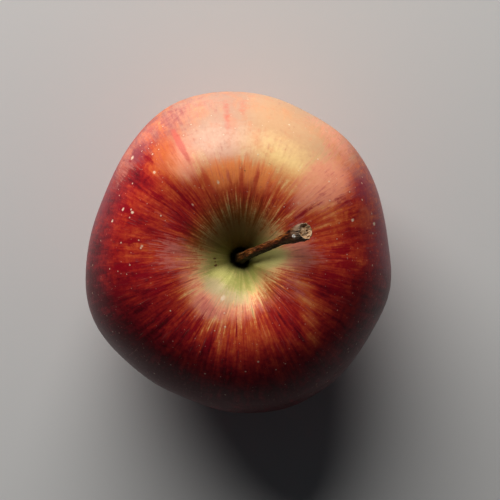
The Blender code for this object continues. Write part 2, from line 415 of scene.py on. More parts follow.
# A soft pink blush; the row at 4 degrees is partly painted light where the stem shades the skin.
BLUSHES = (
    (40, 0.0318, 13, 0.0085, 0.85),
    (43, 0.0440, 11, 0.0090, 0.40),
    (52, 0.0520, 12, 0.0070, 0.45),
    (31, 0.0370, 8, 0.0060, 0.25),
    (137, 0.0500, 14, 0.0080, 0.60),
    (112, 0.0490, 16, 0.0080, 0.45),
    (121, 0.0318, 9, 0.0055, 0.80),
    (240, 0.0200, 20, 0.0036, 0.85),
    (272, 0.0198, 16, 0.0026, 0.35),
    (205, 0.0190, 14, 0.0030, 0.35),
    (178, 0.0200, 14, 0.0040, 0.35),
    (4, 0.0200, 17, 0.0050, 0.70),
)

# The blush where the cavity's green ends: its strength, place and breadth, and the far side, which has none.
FRINGE_BLUSH = 0.30
FRINGE_PLACE = 0.55
FRINGE_BREADTH = 0.40
FAR_SIDE = 90
FAR_BREADTH = 80

# Where the ground is a clear orange, partly painted light that brightens the far inner slope.
AMBERS = (
    (103, 0.0258, 11, 0.0038, 0.80),
    (73, 0.0258, 12, 0.0036, 0.80),
    (89, 0.0268, 9, 0.0034, 0.75),
    (17, 0.0410, 6, 0.0050, 0.35),
    (126, 0.0362, 7, 0.0066, 0.72),
)

# A light lime on the cavity's wall, mostly painted light where the stem and a fold shade it.
LIMES_AND_PAINTED_LIGHT = (
    (0, 0.0125, 16, 0.0065, 1.00),
    (338, 0.0085, 14, 0.0030, 0.60),
    (238, 0.0105, 18, 0.0040, 0.45),
    (212, 0.0105, 14, 0.0045, 0.65),
)

# A plum tint on the far flanks, partly the skin's own and partly painted light: a bluish sheen of the sky on
# the rims, and shade on the far left shoulder.
PLUMS_AND_PAINTED_LIGHT = (
    (20, 0.0560, 24, 0.0150, 0.48),
    (29, 0.0455, 6, 0.0060, 0.40),
    (0, 0.0540, 12, 0.0100, 0.48),
    (135, 0.0450, 4, 0.0040, 0.50),
    (158, 0.0540, 16, 0.0080, 0.40),
    (122, 0.0500, 22, 0.0110, 0.42),
)

# Folds of the cavity's wall: direction, half width in degrees, and height.
CAVITY_FOLDS = (
    (293, 12, -0.0009),
    (337, 18, 0.0011),
    (268, 16, 0.0003),
    (247, 18, 0.0007),
    (205, 12, -0.0003),
    (160, 14, -0.0003),
    (72, 14, 0.0003),
)

# Cream where the green turns to red; the rows at 348 and 2 degrees are painted light where the stem shades
# the wall.
CREAM_PATCHES = (
    (248, 0.0172, 18, 0.0040, 0.78),
    (275, 0.0165, 20, 0.0035, 0.55),
    (222, 0.0160, 14, 0.0035, 0.55),
    (200, 0.0155, 12, 0.0035, 0.25),
    (348, 0.0105, 14, 0.0040, 0.25),
    (228, 0.0140, 16, 0.0040, 0.50),
    (2, 0.0150, 14, 0.0040, 0.80),
    (40, 0.0150, 14, 0.0040, 0.25),
)

# Small weathered marks near the stem.
CORK_MARKS = (
    (85.2, 0.0265, 1.4, 0.0005, 0.6),
    (87.8, 0.0280, 1.0, 0.0005, 0.5),
    (70.5, 0.0293, 1.6, 0.0005, 0.45),
    (181.5, 0.0113, 2.6, 0.0006, 1.0),
    (189.0, 0.0112, 2.0, 0.0004, 0.8),
    (197.0, 0.0112, 2.6, 0.0007, 1.0),
)

# Painted shade, brown olive, on the cavity's wall: wide on the shaded far side, where it fades over these
# distances, and in patches.
OLIVE_DIRECTION = 92
OLIVE_BREADTH = 64
OLIVE_FADE = (0.012, 0.026)
OLIVE_SHADES = (
    (165, 0.0150, 26, 0.0060, 0.45),
    (324, 0.0130, 20, 0.0050, 0.50),
    (302, 0.0182, 17, 0.0038, 0.42),
)

# The patches that the skin carries as attributes of their own.
PAINTED = {
    "dashes": DASHES,
    "cream": CREAM_PATCHES,
    "amber": AMBERS,
    "lime_and_painted_light": LIMES_AND_PAINTED_LIGHT,
    "haze_and_sheen": HAZES_AND_SHEEN,
    "rose": ROSES,
    "plum_and_painted_light": PLUMS_AND_PAINTED_LIGHT,
    "stroke": STROKES,
    "pale": PALE_MARKS,
    "cork": CORK_MARKS,
}

# Bands of the skin in millimetres along the meridian, from where an effect is absent to where it is full.
LIVELY = (7, 22)
RING_IN, RING_OUT = (14, 19), (40, 27)
DARK_IN, DARK_OUT = (11, 16), (27, 20)
PORES_IN = (13, 24)
FLANK = (19, 32)
RED_STROKES = (30, 27)
DULLER_ORANGE = (30, 34)
DULLER_PEACH = (29, 40)
CLOUDED_HAZE_AND_SHEEN = (34, 50)
THROAT_SHADE_BAND = (5.0, 2.6)
ROUGH_CAVITY = (16, 8)
RIDGED = (8, 20)
# Where the haze and painted sheen turn from pink to lemon, in metres along X.
LEMON_SIDE = (-0.003, 0.009)


def bell(distance, breadth):
    """1 at no distance, falling off on both sides like a bell."""
    return np.exp(-((distance / breadth) ** 2))


def smoothstep(value, low, high):
    """Rises from 0 at low to 1 at high, level at both ends."""
    share = np.clip((value - low) / (high - low), 0, 1)
    return share * share * (3 - 2 * share)


def turn_between(first, second):
    """The shorter turn between two directions, in degrees."""
    return np.abs((first - second + 180) % 360 - 180)


def towards(direction, rise=0.0):
    """Unit vectors at these directions and this rise above level, in degrees."""
    turn, climb = np.radians(direction), math.radians(rise)
    level = math.cos(climb)
    parts = level * np.cos(turn), level * np.sin(turn), np.full_like(turn, math.sin(climb))
    return np.stack(parts, axis=-1)


def outline(direction):
    """The fruit's reach in each direction: the body's radius with a bell for each rib."""
    ribs = (reach * bell(turn_between(direction, rib), width) for rib, reach, width in RIBS)
    return BODY_RADIUS + sum(ribs)


EVERY_DEGREE = np.arange(0.0, 360.0)
MEAN_RADIUS = float(np.mean(outline(EVERY_DEGREE)))
OUTLINE_CORNERS = towards(EVERY_DEGREE) * outline(EVERY_DEGREE)[:, None]
OUTLINE_MIDDLE = (OUTLINE_CORNERS.min(axis=0) + OUTLINE_CORNERS.max(axis=0)) / 2


def bezier(start, start_handle, end_handle, end, share):
    """Points of a cubic curve: the four places weighted by the powers of the share along it."""
    t = share[:, None]
    ends = (1 - t) ** 3 * start, t**3 * end
    handles = 3 * (1 - t) ** 2 * t * start_handle, 3 * (1 - t) * t**2 * end_handle
    return ends[0] + handles[0] + handles[1] + ends[1]


def spline(anchors, steps=200):
    """Dense points along cubic curves between anchors: a place, a unit heading and its handles' lengths."""
    share = np.linspace(0, 1, steps, endpoint=False)
    runs = []
    for (start, leaving, _, out), (end, arriving, back, _) in zip(anchors, anchors[1:]):
        start, end = np.array(start), np.array(end)
        handles = start + out * np.array(leaving), end - back * np.array(arriving)
        runs.append(bezier(start, *handles, end, share))
    return np.concatenate([*runs, [anchors[-1][0]]])


def evened(points, count, fine_length=0.0, fine_count=0):
    """The same curve with points at even distances along it, and their distances from its start.

    A first length may have evenly spaced points of its own, which come before the others.
    """
    steps = np.linalg.norm(np.diff(points, axis=0), axis=1)
    travelled = np.concatenate([[0], np.cumsum(steps)])
    places = np.linspace(fine_length, travelled[-1], count)
    places = np.concatenate([np.linspace(0, fine_length, fine_count, endpoint=False), places])
    moved = [np.interp(places, travelled, values) for values in points.T]
    return np.stack(moved, axis=-1), places


def unit(vectors):
    """The same vectors at length 1."""
    return vectors / np.maximum(np.linalg.norm(vectors, axis=-1, keepdims=True), 1e-12)


def profile():
    """The turned profile as radii and heights, with each point's distance along it."""
    steep = math.radians(65)
    anchors = (
        ((0, FLOOR_HEIGHT), (1, 0), 0, 0.0026),
        ((THROAT_RADIUS, THROAT_HEIGHT), (math.cos(steep), math.sin(steep)), 0.0022, 0.0050),
        ((CREST_RADIUS, CREST_HEIGHT), (1, 0), 0.0088, 0.0105),
        ((MEAN_RADIUS, WIDEST_HEIGHT), (0, -1), 0.0165, 0.0200),
        ((FOOT_RADIUS, 0), (-1, 0), 0.0105, 0.0070),
        ((0, EYE_HEIGHT), (-1, 0), 0.0070, 0),
    )
    points, along = evened(spline(anchors), COARSE_ROWS, FINE_LENGTH, FINE_ROWS)
    return points[:, :1], points[:, 1:], along[:, None]


def fruit_points(radius, height, direction):
    """The turned profile scaled by the outline, with furrows, a leaning shoulder and off-axis ends."""
    scale = 1 + (outline(direction) / MEAN_RADIUS - 1) * (radius / MEAN_RADIUS) ** RIB_FADE
    furrow = np.prod([1 - bell(turn_between(direction, rib[0]), FOOT_HALF_ANGLE) for rib in RIBS], axis=0)
    upper = height > WIDEST_HEIGHT
    cavity = np.where(upper, 1 - smoothstep(radius, THROAT_RADIUS, CREST_RADIUS), 0)
    basin = np.where(upper, 0, 1 - smoothstep(radius, 0, FOOT_RADIUS))
    dip = np.where(upper, SHOULDER_DIP * bell(radius - CREST_RADIUS, SHOULDER_BREADTH), 0)
    rise = np.where(upper, 0, FURROW_RISE * bell(radius - FOOT_RADIUS, FURROW_BREADTH))
    slope = math.tan(math.radians(SHOULDER_LEAN)) * smoothstep(height, LEAN_START, CREST_HEIGHT)
    lean = slope * radius * np.cos(np.radians(direction - LEAN_DIRECTION))
    points = towards(direction) * (radius * scale)[..., None]
    for axis in (0, 1):
        points[..., axis] += cavity * CAVITY_SHIFT[axis] + basin * EYE_SHIFT[axis] - OUTLINE_MIDDLE[axis]
    points[..., 2] = height + furrow * (rise - dip) + lean - FLAT_DEPTH
    return points


def grid_normals(points):
    """Outward unit normals of a grid whose rows run along and whose columns wrap round."""
    along = np.gradient(points, axis=0)
    around = np.roll(points, -1, axis=1) - np.roll(points, 1, axis=1)
    return unit(np.cross(along, around))


def waves(points, length, seed, count=28):
    """A smooth random field near -1 to 1: plane waves about one length long, in seeded directions, summed."""
    rng = np.random.default_rng(seed)
    heading = unit(rng.normal(size=(count, 3))) * rng.uniform(0.6, 1.3, (count, 1))
    phase = rng.uniform(0, 2 * np.pi, count)
    field = np.zeros(points.shape[:-1])
    for direction, start in zip(heading, phase):
        field += np.cos(points @ direction * 2 * np.pi / length + start)
    return field / math.sqrt(count)


def closed_grids_mesh(name, points, fields=()):
    """One mesh of closed grids: an array of copies, each with rows and columns of points.

    The columns wrap round, and a copy's first and last rows are each one point. Each field is a named array
    over the same grids, of numbers or of vectors, and becomes an attribute.
    """
    copies, rows, columns = points.shape[:3]
    count = (rows - 2) * columns + 2
    inner = np.arange((rows - 2) * columns).reshape(rows - 2, columns) + 1
    following = np.roll(inner, -1, axis=1)
    quads = np.stack([inner[:-1], inner[1:], following[1:], following[:-1]], axis=-1).reshape(-1, 4)
    start_fan = np.stack([np.zeros(columns, int), inner[0], following[0]], axis=-1)
    end_fan = np.stack([np.full(columns, count - 1), following[-1], inner[-1]], axis=-1)
    starts = (np.arange(copies) * count)[:, None, None]
    faces = []
    for one in (start_fan, quads, end_fan):
        faces += (one + starts).reshape(-1, one.shape[1]).tolist()

    def flattened(grid):
        """The grid's values in the order of the mesh's points, each end row as one point."""
        middle = grid[:, 1:-1].reshape(copies, -1, *grid.shape[3:])
        return np.concatenate([grid[:, :1, 0], middle, grid[:, -1:, 0]], axis=1).reshape(-1, *grid.shape[3:])

    mesh = bpy.data.meshes.new(name)
    mesh.from_pydata(flattened(points), [], faces)
    mesh.shade_smooth()
    for field_name, grid in fields:
        kind = "FLOAT_VECTOR" if grid.ndim == 4 else "FLOAT"
        attribute = mesh.attributes.new(field_name, kind, "POINT")
        attribute.data.foreach_set("vector" if grid.ndim == 4 else "value", flattened(grid).ravel())
    obj = bpy.data.objects.new(name, mesh)
    bpy.context.scene.collection.objects.link(obj)
    return obj


def painted(direction, along, patches, flatness=1.5):
    """The sum of soft-edged oval patches: each an amount times a bell in direction and distance.

    The higher the flatness, the flatter is the bell's top.
    """
    total = np.zeros(np.broadcast(direction, along).shape)
    for middle, distance, half_width, half_length, amount in patches:
        across = turn_between(direction, middle) / half_width
        lengthways = (along - distance) / half_length
        total += amount * np.exp(-((across**2 + lengthways**2) ** flatness))
    return total


def ripeness_field(direction, along):
    """How red the ground is outside the cavity: redder over the sides, green in the basin, with patches."""
    sides = (change * bell(turn_between(direction, middle), width) for middle, width, change in SIDE_RIPENESS)
    ripe = RIPENESS + sum(sides) * smoothstep(along, *SIDES_FROM)
    above_basin = 1 - smoothstep(along, *BASIN_FROM)
    return ripe * (BASIN_SHARE + (1 - BASIN_SHARE) * above_basin) + painted(direction, along, GROUND_PATCHES)


def cavity_reach(direction, along):
    """How far a place lies past the cavity's green, from 0 where the red starts to 1 where it is full."""
    end, fade = GREEN_END, GREEN_FADE
    for middle, width, shift, stretch in GREEN_SIDES:
        side = bell(turn_between(direction, middle), width)
        end, fade = end + shift * side, fade + stretch * side
    return (along - end) / fade


def skin_relief(points, meridian, direction, along):
    """The skin's low relief: undulations, folds down the cavity's wall and puckers round the eye."""
    folds = (rise * bell(turn_between(direction, middle), width) for middle, width, rise in CAVITY_FOLDS)
    folds = CAVITY_FOLD * waves(meridian * (1, 1, 0.25), FOLD_LENGTH, seed=8) + sum(folds)
    folds = folds * bell(along - FOLD_PLACE, FOLD_BREADTH)
    puckers = PUCKER * waves(meridian * (1, 1, 0.15), PUCKER_LENGTH, seed=9)
    puckers = puckers * bell(along - along[-1, 0] + PUCKER_BEFORE_EYE, PUCKER_BREADTH)
    undulations = UNDULATION * waves(points, UNDULATION_LENGTH, seed=3) * smoothstep(along, 0, 0.01)
    return undulations + folds + puckers


def build_fruit():
    """The skin's fine grid with its low relief, and the fields that its colours follow."""
    radius, height, along = profile()
    direction = (np.arange(FRUIT_COLUMNS) * 360.0 / FRUIT_COLUMNS)[None, :]
    points = fruit_points(radius, height, direction)
    meridian = towards(direction) + np.array((0, 0, 1.0)) * (along / MEAN_RADIUS)[..., None]
    points += grid_normals(points) * skin_relief(points, meridian, direction, along)[..., None]
    points[..., 2] = np.maximum(points[..., 2], 0)
    past = cavity_reach(direction, along)
    # Painted shade on the cavity's wall: the far side in the shoulder's shade, and patches.
    olive_shade = bell(turn_between(direction, OLIVE_DIRECTION), OLIVE_BREADTH)
    olive_shade = olive_shade * (1 - smoothstep(along, *OLIVE_FADE)) + painted(direction, along, OLIVE_SHADES, flatness=1)
    near = 1 - bell(turn_between(direction, FAR_SIDE), FAR_BREADTH)
    fringe = FRINGE_BLUSH * bell(past - FRINGE_PLACE, FRINGE_BREADTH) * near
    fields = {
        "meridian": meridian,
        "ripeness": ripeness_field(direction, along),
        "reach": past,
        "olive_shade": olive_shade,
        "blush": painted(direction, along, BLUSHES) + fringe,
        "depth": np.broadcast_to(along, points.shape[:2]) * 1000,
    }
    for name, patches in PAINTED.items():
        fields[name] = painted(direction, along, patches)
    fields = [(name, grid[None]) for name, grid in fields.items()]
    return closed_grids_mesh("apple_skin", points[None], fields)


def swept(path, side, half_width, half_height, columns):
    """Rings carried along a path: ovals in the plane of the side vector and its upward normal.

    The path may have an axis for copies before its rows; the half sizes are given for each row.
    """
    heading = unit(np.gradient(path, axis=-2))
    up = unit(np.cross(side, heading))
    turn = np.linspace(0, 2 * np.pi, columns, endpoint=False)[:, None]
    across = half_width[..., :, None, None] * np.cos(turn) * side[..., None, :]
    upwards = half_height[..., :, None, None] * np.sin(turn) * up[..., :, None, :]
    return path[..., :, None, :] + across + upwards


def stem_radius(share):
    """The stem's radius at a share of its length: stout at its foot, then slim, then flared to the knob."""
    radius = STEM_RADIUS + (STEM_FOOT_RADIUS - STEM_RADIUS) * bell(share, 0.15)
    return radius + (KNOB_RADIUS - radius) * smoothstep(share, KNOB_START, 0.95)


def joined(shaft, scar):
    """A field of the whole stem: one part spread over the shaft's rows, the other over the scar's."""
    spread = []
    for part, rows in ((np.asarray(shaft), STEM_ROWS), (np.asarray(scar), SCAR_ROWS)):
        spread.append(np.broadcast_to(part, (rows, STEM_COLUMNS, *part.shape[2:])))
    return np.concatenate(spread)


def scar_relief(disc):
    """The scar's height at points of the unit disc, less its holes, and the holes' depth as a share.

    A rim and a boss are bells of the distance from the middle, the dish lies within the rim, and a hole is a
    flat-floored oval.
    """
    across, upwards = disc[..., 0], disc[..., 1]
    inwards = np.hypot(across, upwards)
    lift = SCAR_RIM * bell(inwards - 0.90, 0.07) - SCAR_DISH * (1 - smoothstep(inwards, 0.50, 0.90))
    lift = lift + SCAR_BOSS * bell(inwards - 0.1, 0.38) + SCAR_GRAIN * waves(disc, 0.35, seed=25) * inwards
    hole = np.zeros_like(across)
    for x, y, half_x, half_y, depth in SCAR_HOLES:
        dent = np.exp(-(((across - x) / half_x) ** 2 + ((upwards - y) / half_y) ** 2) ** 2)
        lift = lift - depth * dent
        hole = np.maximum(hole, dent)
    return lift, hole


def build_stem():
    """The stem: rings along its bent line, ridged and cracked along a twisting grain, then in over the scar.

    A point of the shaft is the line's point plus the radius towards its turn. The radius has five ridges, a
    collar and a knuckle, less the cracks. The scar is a disc across the end, with its relief along the line.
    """
    tip_heading = towards(STEM_TIP_DIRECTION, STEM_TIP_RISE)
    side = unit(np.cross(tip_heading, (0, 0, 1)))
    handles = STEM_FOOT + (0, 0, STEM_HANDLE), STEM_TIP - STEM_HANDLE * tip_heading
    curve = bezier(STEM_FOOT, *handles, STEM_TIP, np.linspace(0, 1, 400))
    path, along = evened(np.concatenate([[STEM_FOOT - (0, 0, STEM_ROOT)], curve]), STEM_ROWS)
    share = (along / along[-1])[:, None]
    turn = (np.arange(STEM_COLUMNS) * 2 * np.pi / STEM_COLUMNS)[None, :]
    grain_turn = turn + math.radians(STEM_TWIST) * share

    def grain(stretch):
        """The cosine and sine of the grain's turn, and the share of the length times the stretch."""
        parts = np.broadcast_arrays(np.cos(grain_turn), np.sin(grain_turn), share * stretch)
        return np.stack(parts, axis=-1)

    cracks = bell(waves(grain(2.2), 0.75, seed=21), 0.13) * smoothstep(share, 0.08, 0.25)
    cracks *= smoothstep(waves(grain(5), 1.3, seed=22), -0.5, 0.4)
    flakes = waves(grain(9), 0.60, seed=23)
    fibres = waves(grain(3.5), 0.22, seed=24, count=40)
    collar = COLLAR_SWELL * (bell(share - 0.945, 0.020) - 0.5 * bell(share - 0.90, 0.014))
    knuckle = KNUCKLE_SWELL * bell(share - 0.30, 0.045)
    knuckle = knuckle * (0.5 + 0.5 * np.cos(turn - math.radians(KNUCKLE_DIRECTION)))
    ridge = STEM_RIDGE * (1 - smoothstep(share, 0.75, 0.95))
    radius = stem_radius(share) * (1 + ridge * np.cos(STEM_RIDGES * turn)) + collar + knuckle
    radius = radius - CRACK_DEPTH * cracks + FIBRE_DEPTH * fibres + FLAKE_DEPTH * flakes
    radius[0] = 0
    shaft = swept(path, side, np.ones(STEM_ROWS), np.ones(STEM_ROWS), STEM_COLUMNS)
    shaft = path[:, None] + (shaft - path[:, None]) * radius[..., None]

    inwards = np.linspace(1, 0, SCAR_ROWS + 1)[1:, None]
    across, upwards = inwards * np.cos(turn), inwards * np.sin(turn)
    disc = np.stack([across, upwards, np.zeros_like(across)], axis=-1)
    lift, hole = scar_relief(disc)
    rim = shaft[-1] - STEM_TIP
    scar = STEM_TIP + rim * inwards[..., None] + tip_heading * lift[..., None]

    white_spot = ((share - 0.925) / 0.034) ** 2 + (turn_between(np.degrees(turn), 84) / 16) ** 2
    fields = (
        ("grain", joined(grain(8), disc + grain(8)[-1])),
        ("scar", joined(np.zeros((1, 1, 3)), disc)),
        ("crack", joined(cracks, hole)),
        ("share", joined(share, 1.0)),
        ("scarred", joined(0.0, 1 - smoothstep(inwards, 0.86, 0.97))),
        ("white_spot", joined(np.exp(-(white_spot**2)), 0.0)),
        # Painted light: the side that faces the lamp, up and towards the far shoulder, is lighter and the
        # under side darker.
        ("painted_lit_side", joined(0.6 * np.sin(turn) - 0.8 * np.cos(turn), 0.0)),
    )
    points = np.concatenate([shaft, scar])
    return closed_grids_mesh("stem_bark", points[None], [(name, grid[None]) for name, grid in fields])


BUTTON_BOTTOM = EYE_HEIGHT - FLAT_DEPTH - GAP - BUTTON_CROWN - BUTTON_THICKNESS
EYE = np.array((*(np.array(EYE_SHIFT) - OUTLINE_MIDDLE[:2]), 0))


def build_button():
    """The dried cushion in the eye: a turned profile with a furrowed, sunken underside."""
    rows, columns = 60, 120
    corners = np.arange(len(BUTTON_PROFILE))
    place = np.linspace(0, corners[-1], rows)
    shares, rises = np.array(BUTTON_PROFILE).T
    radius = BUTTON_RADIUS * np.interp(place, corners, shares)[:, None]
    height = np.interp(place, corners, BUTTON_BOTTOM + rises)[:, None]
    direction = (np.arange(columns) * 360.0 / columns)[None, :]
    points = EYE + towards(direction) * radius[..., None] + np.array((0, 0, 1.0)) * height[..., None]
    furrows = 0.00018 * waves(points, 0.0016, seed=31) * smoothstep(radius, 0, 0.001)
    points += towards(direction) * furrows[..., None]
    grain = towards(direction) + np.array((0, 0, 1.0)) * radius[..., None] * 300
    crease = smoothstep(waves(points, 0.0011, seed=32), -0.2, 0.9)
    return closed_grids_mesh("calyx_button", points[None], (("grain", grain[None]), ("crease", crease[None])))


def build_sepal(number):
    """A dried sepal: flat ovals carried down from the button and curled out, cupped, ribbed and wavy-edged.

    Its half width falls from the root to the point by a power of the share along it. Across it, the middle is
    sunk by the square of the distance from the rib, and the edges wave more towards the point.
    """
    draw = np.random.default_rng(40 + number)
    direction = SEPAL_TURN + 360 / SEPALS * number
    out = towards(direction)
    side = np.cross((0, 0, 1.0), out)
    root = EYE + out * SEPAL_ROOT + (0, 0, BUTTON_BOTTOM + 0.0007)
    reach, drop = SEPAL_REACH * draw.uniform(0.90, 1.0), SEPAL_DROP * draw.uniform(0.85, 1.0)
    tip = EYE + out * reach + side * draw.uniform(-0.0007, 0.0007) + (0, 0, BUTTON_BOTTOM - drop)
    curl = unit(out + np.array((0, 0, draw.uniform(0.5, 1.4))))
    path = bezier(root, root + (0, 0, -0.0032), tip - 0.0028 * curl, tip, np.linspace(0, 1, SEPAL_ROWS))
    share = np.linspace(0, 1, SEPAL_ROWS)
    half_width = SEPAL_WIDTH / 2 * (0.75 + 0.25 * smoothstep(share, 0, 0.25)) * (1 - share**1.7) + 0.00004
    half_height = np.full(SEPAL_ROWS, SEPAL_THICKNESS / 2) * (1 - 0.5 * share)
    half_width[[0, -1]] = half_height[[0, -1]] = 0
    points = swept(path, side, half_width, half_height, SEPAL_COLUMNS)
    across = ((points - path[:, None]) @ side) / np.maximum(half_width[:, None], 1e-6)
    face = unit(np.cross(side, unit(np.gradient(path, axis=0))))[:, None]
    edge = 0.00020 * np.sin(share * draw.uniform(14, 20) + draw.uniform(0, 6))[:, None]
    edge = edge * across**2 * share[:, None]
    cup = 0.00055 * across**2 * (1 - 0.5 * share[:, None]) - 0.00010 * bell(across, 0.16)
    twist = draw.uniform(-0.0004, 0.0004) * across * share[:, None] ** 2
    wrinkle = 0.00005 * waves(points, 0.0011, seed=50 + number)
    points = points + face * (edge - cup + twist + wrinkle)[..., None] * (half_width > 0)[:, None, None]
    long_share = np.broadcast_to(share[:, None], across.shape)
    grain = np.stack([across, np.full_like(across, number), long_share], axis=-1)
    crease = smoothstep(waves(points, 0.0012, seed=60 + number), -0.4, 0.9)
    fields = ("grain", grain[None]), ("crease", crease[None])
    return closed_grids_mesh(f"sepal_{number + 1}", points[None], fields)


def build_stamens():
    """A tuft of dried stamens: thin bent threads from the button, each with a swollen shrivelled head."""
    draw = np.random.default_rng(71)
    rows, columns = 22, 10
    share = np.linspace(0, 1, rows)
    direction = 360 / STAMENS * np.arange(STAMENS) + draw.uniform(-8, 8, STAMENS)
    out = towards(direction)
    down = np.array((0, 0, -1.0))
    length = draw.uniform(*STAMEN_LENGTHS, STAMENS)[:, None]
    root = EYE + out * STAMEN_RING * draw.uniform(0.4, 1.0, (STAMENS, 1)) + (0, 0, BUTTON_BOTTOM + 0.0008)
    lean = unit(out * draw.uniform(-0.2, 0.7, (STAMENS, 1)) + down)
    bow = np.cross(out, down) * draw.uniform(-0.0006, 0.0006, (STAMENS, 1))
    path = root[:, None] + (lean * length)[:, None] * share[:, None] + bow[:, None] * (share**2)[:, None]
    head = bell(share - 0.90, 0.075)
    radius = np.broadcast_to(STAMEN_RADIUS * (1 + STAMEN_HEAD * head), (STAMENS, rows)).copy()
    radius[:, [0, -1]] = 0
    side = unit(np.cross(lean, out))
    points = swept(path, side[:, None], radius, radius * 0.8, columns)
    place = np.broadcast_to(share[:, None], (rows, columns))
    grain = np.stack([np.zeros_like(place), np.zeros_like(place), place], axis=-1)
    grain = np.broadcast_to(grain, points.shape) + np.arange(STAMENS)[:, None, None, None]
    crease = np.broadcast_to(0.35 + 0.5 * head[:, None], points.shape[:3])
    return closed_grids_mesh("stamens", points, (("grain", grain), ("crease", crease)))


def build_hairs():
    """Short pale hairs on the button's rim and the roots of the sepals: tapered three-sided threads, bent."""
    draw = np.random.default_rng(81)
    rows, columns = 5, 3
    share = np.linspace(0, 1, rows)
    direction = draw.uniform(0, 360, HAIRS)
    out = towards(direction)
    reach = BUTTON_RADIUS * draw.uniform(0.35, 1.05, (HAIRS, 1))
    root = EYE + out * reach + (0, 0, BUTTON_BOTTOM + 0.0004)
    outwards = out * draw.uniform(-0.6, 0.9, (HAIRS, 1))
    heading = unit(outwards + draw.normal(0, 0.35, (HAIRS, 3)) + (0, 0, -1.0))
    length = draw.uniform(*HAIR_LENGTHS, (HAIRS, 1))
    bend = draw.normal(0, 0.25, (HAIRS, 3)) * length
    path = root[:, None] + (heading * length)[:, None] * share[:, None] + bend[:, None] * (share**2)[:, None]
    radius = np.broadcast_to(HAIR_RADIUS * (1.1 - share), (HAIRS, rows)).copy()
    radius[:, [0, -1]] = 0
    side = unit(np.cross(heading, out + (0, 0, 0.3)))
    return closed_grids_mesh("calyx_hairs", swept(path, side[:, None], radius, radius, columns))


class Steps:
    """A node tree with short names for the steps that the materials take."""

    def __init__(self, tree):
        self.tree = tree

    def node(self, kind, inputs=(), **settings):
        """A new node with these settings, its sockets set to values or linked to other sockets."""
        made = self.tree.nodes.new("ShaderNode" + kind)
        for name, value in settings.items():
            setattr(made, name, value)
        for socket, value in dict(inputs).items():
            self.feed(made.inputs[socket], value)
        return made

    def feed(self, socket, value):
        """Links the socket to another socket, or sets it to a value."""
        if isinstance(value, bpy.types.NodeSocket):
            self.tree.links.new(value, socket)
        else:
            socket.default_value = value

    def math(self, operation, first, second=0.0, third=0.0):
        """One operation of arithmetic on up to three values."""
        inputs = {0: first, 1: second, 2: third}
        return self.node("Math", inputs, operation=operation).outputs[0]

    def plus(self, value, amount, share):
        """The value with a share of the amount added."""
        return self.math("MULTIPLY_ADD", amount, share, value)

    def total(self, value, *parts):
        """The value with a share of each amount added; the amounts come in pairs with their shares."""
        for amount, share in parts:
            value = self.plus(value, amount, share)
        return value

    def times(self, first, *others):
        """The product of two or more values."""
        for other in others:
            first = self.math("MULTIPLY", first, other)
        return first

    def stepped(self, value, low, high):
        """Rises smoothly from 0 at low to 1 at high."""
        inputs = {"Value": value, "From Min": low, "From Max": high}
        return self.node("MapRange", inputs, interpolation_type="SMOOTHSTEP").outputs["Result"]

    def blend(self, share, first, second):
        """The first colour, turning into the second as the share rises."""
        made = self.node("Mix", data_type="RGBA")
        for socket, value in (("Factor_Float", share), ("A_Color", first), ("B_Color", second)):
            self.feed(next(s for s in made.inputs if s.identifier == socket), value)
        return next(s for s in made.outputs if s.identifier == "Result_Color")

    def cover(self, colour, mask, rise, strength, paint):
        """The colour under a paint, which shows at this strength where the mask has risen."""
        return self.blend(self.times(self.stepped(mask, *rise), strength), colour, paint)

    def ramp(self, value, stops):
        """The value as a colour, from stops that each pair a value with a colour."""
        made = self.node("ValToRGB", {"Fac": value})
        elements = made.color_ramp.elements
        while len(elements) < len(stops):
            elements.new(1.0)
        for element, (position, colour) in zip(elements, stops):
            element.position = position
            element.color = (*colour[:3], 1)
        return made.outputs["Color"]

    def attribute(self, name, output="Fac"):
        """The attribute of this name, as the mesh carries it."""
        return self.node("Attribute", attribute_name=name).outputs[output]

    def placed(self):
        """The place in the piece's own coordinates, in metres."""
        return self.node("TexCoord").outputs["Object"]

    def stretched(self, vector, factors):
        """The vector with each axis times its factor."""
        return self.node("VectorMath", {0: vector, 1: factors}, operation="MULTIPLY").outputs["Vector"]

    def noise(self, vector, scale, detail=2.0, roughness=0.5, distortion=0.0):
        """Cloudy noise from 0 to 1, in clouds about one over the scale wide."""
        inputs = {"Vector": vector, "Scale": scale, "Detail": detail}
        inputs |= {"Roughness": roughness, "Distortion": distortion}
        return self.node("TexNoise", inputs).outputs["Fac"]

    def bump(self, shader, height, strength, distance):
        """Fine relief of this height, which tilts the shader's normal."""
        made = self.node("Bump", {"Strength": strength, "Distance": distance, "Height": height})
        self.feed(shader.inputs["Normal"], made.outputs["Normal"])

    def group(self, group, inputs):
        """A placed node group; its outputs are read by name."""
        made = self.node("Group", node_tree=group)
        for socket, value in inputs.items():
            self.feed(made.inputs[socket], value)
        return made.outputs


def new_group(name, inputs, outputs):
    """An empty node group with named sockets: its tree, the tree's steps, and the sockets in and out."""
    tree = bpy.data.node_groups.new(name, "ShaderNodeTree")
    for socket, kind, value in inputs:
        made = tree.interface.new_socket(socket, in_out="INPUT", socket_type="NodeSocket" + kind)
        if value is not None:
            made.default_value = value
    for socket in outputs:
        tree.interface.new_socket(socket, in_out="OUTPUT", socket_type="NodeSocketFloat")
    given, result = tree.nodes.new("NodeGroupInput"), tree.nodes.new("NodeGroupOutput")
    return tree, Steps(tree), given.outputs, result.inputs


